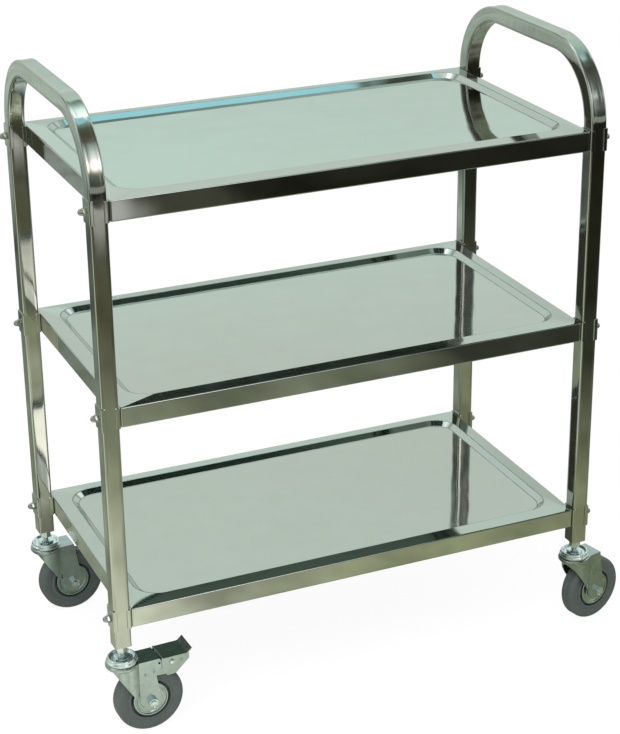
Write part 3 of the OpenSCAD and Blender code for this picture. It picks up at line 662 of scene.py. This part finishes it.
class CART_OT_trays(bpy.types.Operator):
    """Press the three trays: a sunk floor in a border that falls a little outwards, and a folded skirt with a hem"""
    bl_idname = "cart.trays"
    bl_label = "Trays"

    def execute(self, context):
        sizes = context.scene.cart_sizes
        fall = sizes.border * math.tan(sizes.border_fall)
        rise = sizes.border_rise
        # the crease material paints shade into the well's bends
        crease = crease_painted_shade(context.scene.cart_steel)
        wall = (sizes.well_depth + rise) / math.tan(sizes.wall_slope)
        hem, sheet, floor_rim = 8, 1.0, 4
        bend, crest = 2, 1.8  # inner radii of the folds and of the well's upper edge
        for name in TRAYS:
            low, high = [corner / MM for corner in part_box(name)]
            middle = (low + high) / 2
            skirt = high.z - low.z
            line = folded([(hem, -skirt, 0), (0, -skirt, bend), (0, rise - fall, bend), (sizes.border, rise, crest),
                           (sizes.border + wall, -sizes.well_depth, bend),
                           (sizes.border + wall + floor_rim, -sizes.well_depth, 0)])
            bm = bmesh.new()
            rings = [self.ring(bm, sizes, middle, high, inset, height) for inset, height in line]
            for step, (ring, after) in enumerate(zip(rings, rings[1:])):
                # inside the border, only the points of a bend lie under 1 mm apart
                in_shaded_crease = line[step].x > sizes.border - 1 and (line[step + 1] - line[step]).length < 1
                for k in range(len(ring)):
                    n = (k + 1) % len(ring)
                    # faces of the well's bends take the crease material with its painted shade
                    bm.faces.new((ring[k], ring[n], after[n], after[k])).material_index = int(in_shaded_crease)
            bm.faces.new(rings[-1])
            made = piece("pressed_" + name, bm, "tray_steel", "cart", (name,), 40)
            made.data.materials.append(crease)
            gauge = made.modifiers.new("sheet_gauge", "SOLIDIFY")
            gauge.thickness = sheet * MM
            gauge.offset = -1
            gauge.use_even_offset = True
            holes = bmesh.new()
            for place in bolt_places():
                bolt_hole(holes, place, -20, -8)
            drilled(made, holes)
            keep_flat(made)
        return {"FINISHED"}

    def ring(self, bm, sizes, middle, high, inset, height):
        """One line round a tray. Its corners are tight in the skirt and open out from the fold to the well."""
        fold = 2
        if inset < fold or height < -sizes.well_depth - 0.1:
            radius = max(sizes.tray_corner - inset, 0.5)
        else:
            share = (inset - fold) / (sizes.border - fold)
            radius = min(fold + (sizes.well_corner - fold) * share, sizes.well_corner + sizes.border - inset)
        steps = 12
        made = []
        for quarter in range(4):
            across, along = ((1, 1), (-1, 1), (-1, -1), (1, -1))[quarter]
            centre = Vector((middle.x + across * (high.x - middle.x - inset - radius),
                             middle.y + along * (high.y - middle.y - inset - radius), high.z + height))
            for k in range(steps + 1):
                angle = math.pi / 2 * (quarter + k / steps)
                made.append(bm.verts.new((centre + Vector((math.cos(angle), math.sin(angle), 0)) * radius) * MM))
        return made


class CART_OT_fixings(bpy.types.Operator):
    """Forge the tray bolts and dome nuts, and finish the saddles"""
    bl_idname = "cart.fixings"
    bl_label = "Tray Fixings"

    def execute(self, context):
        dress(["inner_saddles", "outer_saddles"], "saddle_steel")
        bolts, nuts = bmesh.new(), bmesh.new()  # M6, 10 mm across the flats
        seat, dome_radius = 14.05, 4.6
        dome = [(dome_radius * math.cos(a), seat + 6.4 + dome_radius * math.sin(a))
                for a in [math.pi / 24 * k for k in range(12)]]
        for place in bolt_places():
            turned(bolts, [(0, -19)] + hex_sides(10, -19, -15)[:-1] + [(3, -15)] + thread(3, 1, -8, 18)
                   + [(2.4, 18.6), (0, 18.6)], place, 72)
            turned(nuts, [(3.05, seat)] + hex_sides(10, seat, seat + 5) + [(dome_radius, seat + 5.1)]
                   + dome + [(0, seat + 11), (0, seat + 5.4), (3.05, seat + 5.4)], place, 72)
        piece("forged_tray_bolts", bolts, "bolt_steel", "cart", ("tray_bolts",))
        piece("forged_dome_nuts", nuts, "bolt_steel", "cart", ("dome_nuts",))
        return {"FINISHED"}


class CART_OT_swivels(bpy.types.Operator):
    """Turn the stems, nuts and bearing caps above the forks"""
    bl_idname = "cart.swivels"
    bl_label = "Swivel Heads"

    def execute(self, context):
        caps, head_nuts, stem_nuts = bmesh.new(), bmesh.new(), bmesh.new()
        dish = rounded([(5.05, 0), (19.6, 0), (19.6, -3.25), (22.8, -3.25), (23.2, -2.45), (23.2, -0.3), (22.7, 0.4),
                        (21.5, 1.9), (21.5, 4), (20.4, 5.55), (18.8, 5.55), (17.7, 4), (16.1, 2), (5.05, 2)], 0.8, 4)
        for corner in CORNERS:
            place = leg_place(corner)
            turned(caps, [(r, CAP + h) for r, h in dish], place, 128)
            turned(head_nuts, [(5.05, CAP + 2)] + hex_sides(22, CAP + 2, CAP + 6.5) + [(5.05, CAP + 6.5)], place, 72)
            turned(stem_nuts, [(5.05, LEG_END - 12)] + hex_sides(15, LEG_END - 12, LEG_END) + [(5.05, LEG_END)],
                   place, 72)
            stem = bmesh.new()  # M10
            turned(stem, [(0, CROWN - 9.25)] + rounded([(0, CROWN - 9.25), (9.5, CROWN - 9.25), (9.5, CROWN - 6.75),
                   (7, CROWN - 6.75)], 0.5)[1:] + [(7, CAP), (5, CAP)] + thread(5, 1.5, CAP + 1, LEG_END + 15)
                   + [(4, LEG_END + 16), (0, LEG_END + 16)], place, 72)
            piece("threaded_stem_" + corner, stem, "zinc_fasteners", "cart", ("stem_" + corner,))
        dished = piece("dished_caps", caps, "zinc_sheet", "cart", ("swivel_caps",))
        dished.data.materials[0] = finish_for("zinc_fasteners")  # plated as brightly as the nuts
        piece("forged_head_nuts", head_nuts, "zinc_fasteners", "cart", ("head_nuts",))
        piece("forged_stem_nuts", stem_nuts, "zinc_fasteners", "cart", ("stem_nuts",))
        dress(["lower_cups"], "zinc_sheet")
        dress(["swivel_balls"], "ball_steel")
        return {"FINISHED"}


class CART_OT_forks(bpy.types.Operator):
    """Press the forks and forge their axle bolts and nuts"""
    bl_idname = "cart.forks"
    bl_label = "Forks"

    def execute(self, context):
        fold = context.scene.cart_sizes.fold_radius
        for corner in CORNERS:
            place = caster_place(corner)
            bm = pressed_copy("fork_" + corner, place, CROWN, fold)
            if corner == "front_left":
                rivets(bm, place, PLATE - 0.3, ((28, 98), (42, 100)),
                       [(0, 0), (2.3, 0), (2.2, 0.5), (1.5, 0.75), (0.9, 0.45), (0, 0.35)])
            piece("pressed_fork_" + corner, bm, "zinc_sheet", "swivel_" + corner, ("fork_" + corner,), 32, 0.35)
            axle = axle_place(corner)
            bolt, nut = bmesh.new(), bmesh.new()  # M8, 13 mm across the flats
            turned(bolt, [(0, PLATE + 4.6), (3.2, PLATE + 4.6), (3.6, PLATE + 5)]
                   + hex_sides(13, PLATE + 5, PLATE)[:-1] + [(4, PLATE), (4, -10)]
                   + thread(4, 1.25, -12, -PLATE - 7.6) + [(3.2, -PLATE - 8.1), (0, -PLATE - 8.1)], axle, 72)
            turned(nut, [(4.05, -PLATE)] + hex_sides(13, -PLATE, -PLATE - 6.5)
                   + [(5.6, -PLATE - 6.5), (5.2, -PLATE - 5.9), (4.05, -PLATE - 5.9)], axle, 72)
            piece("forged_axle_bolt_" + corner, bolt, "zinc_fasteners", "swivel_" + corner, ("axle_bolt_" + corner,))
            piece("forged_axle_nut_" + corner, nut, "zinc_fasteners", "swivel_" + corner, ("axle_nut_" + corner,))
            dress(["axle_sleeve_" + corner], "zinc_fasteners")
        return {"FINISHED"}


class CART_OT_wheels(bpy.types.Operator):
    """Press the hubs and mould the bushes and rubber tyres"""
    bl_idname = "cart.wheels"
    bl_label = "Wheels"

    def execute(self, context):
        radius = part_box("tyre_back_left")[1].z / MM / 2
        rim = [(9, 14.1), (12.3, 14.1), (14, 11.5), (15.6, 11.5), (16.6, 10.8), (20.8, 10.8), (21.8, 11.5),
               (23.6, 11.5), (24.3, 13), (26.4, 13), (27.25, 12), (27.25, 6), (32.95, 6)]
        shoulder, half = 7, 13  # the tyre's rounded edge, and half its width
        side = [(27.3, 6.2), (30.2, 6.2), (30.7, 12.2), (31.6, half), (35.2, half), (35.8, 12.65), (36.6, half),
                (radius - shoulder, half)]
        side += [(radius + shoulder * (math.sin(a) - 1), half + shoulder * (math.cos(a) - 1))
                 for a in [math.pi / 20 * k for k in range(1, 11)]]
        side += [(radius, 0.7), (radius - 0.25, 0.35)]
        for corner in CORNERS:
            place = axle_place(corner)
            hub, tyre = bmesh.new(), bmesh.new()
            turned(hub, rounded(rim + [(r, -y) for r, y in rim[::-1]], 0.5), place, 128)
            turned(tyre, side + [(r, -y) for r, y in side[::-1]], place, 160)
            piece("pressed_hub_" + corner, hub, "hub_steel", "wheel_" + corner, ("hub_" + corner,), 40)
            piece("moulded_tyre_" + corner, tyre, "tyre_rubber", "wheel_" + corner, ("tyre_" + corner,), 40)
            dress(["wheel_bushes_" + corner], "bush_plastic")
        return {"FINISHED"}


class CART_OT_brake(bpy.types.Operator):
    """Press the brake pedal, and finish its shoe and its riveted pin"""
    bl_idname = "cart.brake"
    bl_label = "Brake"

    def execute(self, context):
        place = caster_place("front_left")
        bm = pressed_copy("brake_pedal", place, CROWN - 0.5, context.scene.cart_sizes.fold_radius * 0.6)
        rivets(bm, place, 19.4, [(84, 111)], [(0, 0), (2.4, 0), (2.3, 0.4), (1.6, 0.7), (0.9, 0.4), (0, 0.3)])
        piece("pressed_pedal", bm, "zinc_sheet", "pedal", ("brake_pedal",), 32, 0.3)
        dress(["brake_shoe"], "zinc_sheet")
        pin = bmesh.new()
        pivot = Vector(JOINTS["brake_press"]["pos_m"])
        head = [(2.5, 19.9), (4, 19.9), (3.7, 20.7), (2.3, 21.2), (0, 21.3)]
        turned(pin, head + [(r, -y) for r, y in head[::-1]],
               place @ Matrix.Translation(place.inverted() @ pivot) @ Matrix.Rotation(math.radians(-90), 4, "X"), 48)
        piece("riveted_pin", pin, "zinc_fasteners", "swivel_front_left", ("pedal_pin",))
        return {"FINISHED"}


def studio_room(tree):
    """What the steel mirrors above the floor, by the angle from the back over the top: a pale backdrop, a lamp
    bank over it, a second one in front, and the dark room between and beyond. Both banks end towards the right,
    and past the sides and from behind the room is plain and pale. Small things are laid over it: a skylight,
    the beam at its end, a lamp and a dark doorway at the back left."""
    ray = add(tree, "ShaderNodeTexCoord").outputs["Generated"]
    axis = add(tree, "ShaderNodeSeparateXYZ", {0: ray})
    turn = add(tree, "ShaderNodeMath", {0: axis.outputs[2], 1: axis.outputs[1]}, operation="ARCTAN2")
    degrees = add(tree, "ShaderNodeMath", {0: turn.outputs[0], 1: 180 / math.pi}, operation="MULTIPLY").outputs[0]
    plain = graded(tree, degrees, [
        (-60, (0.42, 0.45, 0.41)), (0, (0.62, 0.68, 0.62)), (20, (0.78, 0.88, 0.82)), (45, (0.84, 0.98, 0.92)),
        (55, (0.4, 0.48, 0.45)), (72, (1.5, 1.6, 1.6)), (88, (0.95, 1.0, 1.0)), (104, (0.22, 0.25, 0.24)),
        (124, (0.3, 0.32, 0.3)), (136, (0.82, 0.9, 0.85)), (160, (0.74, 0.82, 0.76)), (180, (0.55, 0.6, 0.55)),
    ])
    left = graded(tree, degrees, [
        (-60, (0.42, 0.45, 0.41)), (0, (0.62, 0.7, 0.62)), (14, (0.66, 0.79, 0.72)), (18, (0.83, 1.03, 0.95)),
        (25, (0.82, 0.9, 0.82)), (34, (0.84, 0.98, 0.9)), (47, (0.86, 1.12, 1.0)), (53, (0.22, 0.36, 0.31)),
        (60, (0.58, 0.78, 0.74)), (70, (1.5, 1.9, 1.85)), (82, (2.3, 2.4, 2.4)), (90, (0.71, 1.05, 0.99)),
        (96, (0.33, 0.47, 0.41)), (102, (0.15, 0.16, 0.12)), (112, (0.14, 0.12, 0.08)), (121, (0.21, 0.21, 0.19)),
        (133, (0.9, 1.05, 1.0)), (144, (1.9, 1.9, 1.9)), (153, (4.0, 3.8, 3.6)), (159, (2.2, 2.1, 1.9)),
        (163, (0.45, 0.45, 0.4)), (167, (0.2, 0.22, 0.2)), (180, (0.09, 0.1, 0.06)),
    ])
    right = graded(tree, degrees, [
        (-60, (0.42, 0.45, 0.41)), (0, (0.62, 0.7, 0.62)), (14, (0.68, 0.8, 0.74)), (19, (0.8, 0.97, 0.88)),
        (27, (0.81, 0.88, 0.81)), (36, (0.84, 0.96, 0.88)), (60, (0.8, 1.03, 0.91)), (78, (0.56, 0.82, 0.79)),
        (86, (0.36, 0.48, 0.42)), (97, (0.14, 0.18, 0.15)), (110, (0.1, 0.12, 0.08)), (125, (0.16, 0.18, 0.16)),
        (158, (0.15, 0.18, 0.17)), (168, (0.2, 0.22, 0.2)), (174, (0.08, 0.1, 0.09)), (180, (0.05, 0.06, 0.06)),
    ])
    far_right = graded(tree, degrees, [
        (-60, (0.42, 0.45, 0.41)), (0, (0.6, 0.68, 0.6)), (14, (0.7, 0.82, 0.75)), (18, (0.68, 0.79, 0.72)),
        (26, (0.64, 0.73, 0.66)), (36, (0.84, 1.04, 0.93)), (60, (0.8, 1.03, 0.91)), (70, (0.58, 0.8, 0.74)),
        (80, (0.5, 0.74, 0.76)), (90, (0.72, 1.08, 1.06)), (97, (0.18, 0.23, 0.19)), (110, (0.09, 0.11, 0.07)),
        (125, (0.17, 0.19, 0.17)), (141, (0.26, 0.3, 0.27)), (151, (1.0, 1.1, 1.05)), (157, (0.34, 0.38, 0.35)),
        (168, (0.28, 0.3, 0.28)), (174, (0.1, 0.12, 0.11)), (180, (0.05, 0.06, 0.06)),
    ])
    seen = plain
    for start, end, zone in ((0.12, 0.2, left), (0.3, 0.43, right), (0.48, 0.53, far_right), (0.58, 0.66, plain)):
        share = add(tree, "ShaderNodeMapRange", {0: axis.outputs[0], 1: start, 2: end})
        seen = add(tree, "ShaderNodeMix", {0: share.outputs[0], 6: seen, 7: zone}, data_type="RGBA").outputs[2]
    # each is a range of degrees, a range across, the softness of its ends and a colour
    skylight = (84.5, 92.5, 0.24, 0.402, 0.01, (0.54, 1.14, 1.3, 1))
    beam = (84.5, 92.5, 0.418, 0.44, 0.01, (0.08, 0.09, 0.07, 1))
    lamp = (70.0, 78.0, -0.26, -0.14, 0.02, (2.6, 2.7, 2.7, 1))
    doorway = (14.0, 32.0, -0.64, -0.43, 0.03, (0.09, 0.09, 0.07, 1))
    blur = 1.5  # degrees
    for low, high, start, end, soft, tone in (skylight, beam, lamp, doorway):
        tall = graded(tree, degrees, [(low - blur, 0.0), (low, 1.0), (high, 1.0), (high + blur, 0.0)])
        wide = graded(tree, axis.outputs[0], [(start - soft, 0.0), (start, 1.0), (end, 1.0), (end + soft, 0.0)])
        share = add(tree, "ShaderNodeMath", {0: tall, 1: wide}, operation="MULTIPLY")
        seen = add(tree, "ShaderNodeMix", {0: share.outputs[0], 6: seen, 7: tone}, data_type="RGBA").outputs[2]
    return seen


def studio_floor(tree, place):
    """What the steel mirrors of the paper sweep, place being metres: lit in front of the cart and behind it,
    darker under the cart, where its shadow is painted in, and to the sides and out into the room, with the soft
    unevenness of its creases."""
    axis = add(tree, "ShaderNodeSeparateXYZ", {0: place})
    x, y = axis.outputs[0], axis.outputs[1]
    # from y -0.4 back to 0.85 the floor dims: painted shadow under the cart and the dimmer floor behind it
    depth = graded(tree, y, [
        (-3.0, (0.12, 0.12, 0.1)), (-1.8, (0.17, 0.17, 0.1)), (-1.5, (0.22, 0.23, 0.16)),
        (-1.23, (0.34, 0.37, 0.26)), (-1.05, (0.6, 0.64, 0.44)), (-0.85, (0.85, 0.9, 0.68)),
        (-0.6, (1.0, 1.04, 0.83)), (-0.4, (1.05, 1.08, 0.88)), (0.2, (0.33, 0.38, 0.28)), (0.85, (0.33, 0.38, 0.29)),
        (1.25, (0.38, 0.45, 0.37)), (1.8, (0.6, 0.69, 0.61)), (2.5, (0.64, 0.74, 0.66)), (3.4, (0.7, 0.82, 0.72)),
    ])
    near = graded(tree, x, [(-0.35, 1.0), (-0.2, (0.78, 0.78, 0.77)), (0.0, (0.47, 0.48, 0.4)),
                            (0.2, (0.43, 0.44, 0.33)), (0.6, (0.34, 0.35, 0.27)), (0.9, 0.2)])
    far = graded(tree, x, [(0.0, 1.0), (0.2, 0.85), (0.55, 0.6), (0.63, 0.5), (0.7, 0.18)])
    aside = graded(tree, y, [(0.9, 0.9), (1.25, 0.65), (1.5, 0.27), (2.0, 0.2), (2.3, 0.6), (2.6, 0.62), (3.4, 0.82)])
    reach = add(tree, "ShaderNodeMapRange", {0: y, 1: -1.0, 2: -1.2})
    front = add(tree, "ShaderNodeMix", {0: reach.outputs[0], 6: near, 7: far}, data_type="RGBA")
    middle = add(tree, "ShaderNodeMapRange", {0: x, 1: -0.7, 2: -0.5})
    back = add(tree, "ShaderNodeMix", {0: middle.outputs[0], 6: aside, 7: (1, 1, 1, 1)}, data_type="RGBA")
    behind = add(tree, "ShaderNodeMapRange", {0: y, 1: -0.2, 2: 0.2})
    side = add(tree, "ShaderNodeMix", {0: behind.outputs[0], 6: front.outputs[2], 7: back.outputs[2]},
               data_type="RGBA")
    size = add(tree, "ShaderNodeVectorMath", {0: place, 1: (2.4, 4.0, 0)}, operation="MULTIPLY")
    length = add(tree, "ShaderNodeVectorMath", {0: size.outputs[0]}, operation="LENGTH")
    # painted shadow of the cart on the floor that the steel mirrors
    under = graded(tree, length.outputs["Value"], [(0.6, 0.3), (1.3, 1.0)])
    crease = add(tree, "ShaderNodeTexNoise", {"Vector": place, "Scale": 4.0, "Detail": 3.0, "Roughness": 0.6})
    mottle = add(tree, "ShaderNodeMapRange", {0: crease.outputs["Fac"], 1: 0.32, 2: 0.68, 3: 0.6, 4: 1.4})
    sheet = add(tree, "ShaderNodeVectorMath", {0: place, 1: (0.22, -2.5, 0)}, operation="DISTANCE")
    glare = add(tree, "ShaderNodeMapRange", {0: sheet.outputs["Value"], 1: 0.12, 2: 0.2, 3: 0.75, 4: 0.0})
    tint = add(tree, "ShaderNodeVectorMath", {0: depth, 1: side.outputs[2], 2: glare.outputs[0]},
               operation="MULTIPLY_ADD")
    shade = add(tree, "ShaderNodeVectorMath", {0: tint.outputs[0], 1: under}, operation="MULTIPLY")
    seen = add(tree, "ShaderNodeVectorMath", {0: shade.outputs[0], "Scale": mottle.outputs[0]}, operation="SCALE")
    return seen.outputs[0]


class CART_OT_stage(bpy.types.Operator):
    """Build the floor, the room, the lamps and the camera"""
    bl_idname = "cart.stage"
    bl_label = "Stage"

    def execute(self, context):
        scene = context.scene
        setup = scene.cart_stage
        scene.view_settings.view_transform = "Standard"
        legs = [Vector(JOINTS["swivel_" + corner]["pos_m"]) for corner in CORNERS]
        middle = sum(legs, Vector()) / 4
        middle.z = 0

        world = bpy.data.worlds.new("studio")
        scene.world = world
        world.use_nodes = True
        tree = world.node_tree
        tree.nodes.clear()
        path = add(tree, "ShaderNodeLightPath")
        clear = add(tree, "ShaderNodeMath", {0: path.outputs["Is Camera Ray"],
                                             1: path.outputs["Is Transmission Ray"]}, operation="MAXIMUM")
        mirrored = add(tree, "ShaderNodeMix", {0: path.outputs["Is Glossy Ray"], 6: (setup.room,) * 3 + (1,),
                                               7: studio_room(tree)}, data_type="RGBA")
        seen = add(tree, "ShaderNodeMix", {0: clear.outputs[0], 6: mirrored.outputs[2], 7: (1, 1, 1, 1)},
                   data_type="RGBA")
        glow = add(tree, "ShaderNodeBackground", {"Color": seen.outputs[2]})
        add(tree, "ShaderNodeOutputWorld", {"Surface": glow.outputs[0]})

        floor_bm = bmesh.new()
        bmesh.ops.create_grid(floor_bm, x_segments=1, y_segments=1, size=6)
        floor_mesh = bpy.data.meshes.new("paper_floor")
        floor_bm.to_mesh(floor_mesh)
        floor_bm.free()
        floor = placed("paper_floor", floor_mesh)
        floor_mesh.materials.append(self.paper())

        lamp_data = bpy.data.lights.new("key_lamp", "AREA")
        lamp_data.shape = "RECTANGLE"
        lamp_data.size, lamp_data.size_y = 2.4, 1.6
        lamp_data.energy = setup.lamp
        lamp = placed("key_lamp", lamp_data)
        lamp.location = middle + Vector((-1.4, -1.8, 3.0))
        lamp.rotation_euler = (middle + Vector((0, 0, 0.4)) - lamp.location).to_track_quat("-Z", "Y").to_euler()
        lamp.visible_glossy = False

        camera_data = bpy.data.cameras.new("camera")
        camera_data.lens = setup.lens
        camera_data.sensor_width = 36
        camera_data.clip_end = 50
        camera = placed("camera", camera_data)
        scene.camera = camera
        a, e = setup.heading, setup.drop
        back = Vector((math.sin(a) * math.cos(e), -math.cos(a) * math.cos(e), math.sin(e)))
        right = Vector((math.cos(a), math.sin(a), 0))
        up = back.cross(right)
        turn = Matrix((right, up, back)).transposed() @ Matrix.Rotation(setup.roll, 3, "Z")
        camera.matrix_world = Matrix.Translation(middle + Vector(setup.spot)) @ turn.to_4x4()
        return {"FINISHED"}

    def paper(self):
        """Matt white paper sweep. The camera sees it white, with the cart's soft shadow."""
        made, tree, shader, place = surface("matt_white_paper", Roughness=0.9, Base_Color=srgb("#F4F5F3"))
        mirrored = add(tree, "ShaderNodeEmission", {"Color": studio_floor(tree, place)})
        white = add(tree, "ShaderNodeEmission", {"Color": (1, 1, 1, 1), "Strength": 1.06})
        seen = add(tree, "ShaderNodeMixShader", {0: 0.88, 1: shader.outputs[0], 2: white.outputs[0]})
        path = add(tree, "ShaderNodeLightPath")
        first = add(tree, "ShaderNodeMixShader", {0: path.outputs["Is Camera Ray"], 1: shader.outputs[0],
                                                  2: seen.outputs[0]})
        both = add(tree, "ShaderNodeMixShader", {0: path.outputs["Is Glossy Ray"], 1: first.outputs[0],
                                                 2: mirrored.outputs[0]})
        tree.links.new(both.outputs[0], tree.nodes["Material Output"].inputs["Surface"])
        return made


OPERATORS = (CART_OT_side_frames, CART_OT_trays, CART_OT_fixings, CART_OT_swivels, CART_OT_forks,
             CART_OT_wheels, CART_OT_brake, CART_OT_stage)


class CART_PT_panel(bpy.types.Panel):
    """Lists the cart's pieces and settings"""
    bl_idname = "CART_PT_panel"
    bl_label = "Steel Tray Cart"
    bl_space_type = "VIEW_3D"
    bl_region_type = "UI"
    bl_category = "Cart"

    def draw(self, context):
        for group in (context.scene.cart_steel, context.scene.cart_sizes, context.scene.cart_stage):
            for name in group.bl_rna.properties.keys():
                if name not in ("rna_type", "name"):
                    self.layout.prop(group, name)
        for operator in OPERATORS:
            self.layout.operator(operator.bl_idname)


CLASSES = (CartSteel, CartSizes, CartStage) + OPERATORS + (CART_PT_panel,)


def register():
    for made in CLASSES:
        bpy.utils.register_class(made)
    bpy.types.Scene.cart_steel = PointerProperty(type=CartSteel)
    bpy.types.Scene.cart_sizes = PointerProperty(type=CartSizes)
    bpy.types.Scene.cart_stage = PointerProperty(type=CartStage)


def unregister():
    del bpy.types.Scene.cart_stage
    del bpy.types.Scene.cart_sizes
    del bpy.types.Scene.cart_steel
    for made in reversed(CLASSES):
        bpy.utils.unregister_class(made)


def main():
    register()
    for operator in OPERATORS:
        group, call = operator.bl_idname.split(".")
        getattr(getattr(bpy.ops, group), call)()


if __name__ == "__main__":
    main()
